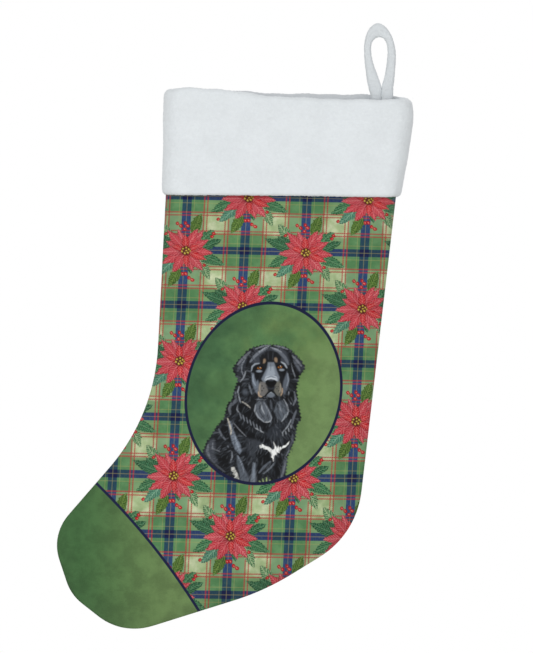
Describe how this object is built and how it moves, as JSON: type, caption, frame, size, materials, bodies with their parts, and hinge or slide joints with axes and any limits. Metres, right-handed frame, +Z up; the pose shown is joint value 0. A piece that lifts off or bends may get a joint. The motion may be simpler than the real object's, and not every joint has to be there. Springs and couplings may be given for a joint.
{
  "type": "hanging stocking",
  "caption": "Hanging fabric stocking: a printed, lined leg and foot, open at the top, with a folded plush cuff and a plush hanging loop that swings at its root.",
  "frame": {"origin": "inside top of the hanging loop, where the hook bears", "axes": "+Z up, +X towards the heel side (the viewer's right), -Y the front that carries the portrait; Y = 0 is the side seam's plane"},
  "size_m": [0.3057, 0.0358, 0.5156],
  "materials": {
    "printed_fabric": "printed woven polyester, matt",
    "lining_cloth": "plain woven, matt",
    "plush": "short white plush pile",
    "print_thread": "dark green sewing thread",
    "plush_thread": "white sewing thread"
  },
  "bodies": {
    "loop": {"hanging_loop": "plush", "loop_seam_thread": "plush_thread"},
    "stocking": {"front_panel": "printed_fabric", "back_panel": "printed_fabric", "front_lining": "lining_cloth", "back_lining": "lining_cloth", "cuff_front": "plush", "cuff_back": "plush", "loop_tail_toe_side": "plush", "loop_tail_heel_side": "plush", "side_seam_thread": "print_thread", "lining_seam_thread": "plush_thread", "cuff_side_seam_thread": "plush_thread", "mouth_seam_thread": "plush_thread", "cuff_hem_thread": "plush_thread", "facing_thread": "plush_thread", "loop_bar_tack": "plush_thread"}
  },
  "joints": [
    {"name": "loop_bend", "type": "hinge", "parent": "loop", "child": "stocking", "pos_m": [0, 0, -0.043], "axis": [1, 0, 0], "range_deg": [-80, 80]}
  ]
}
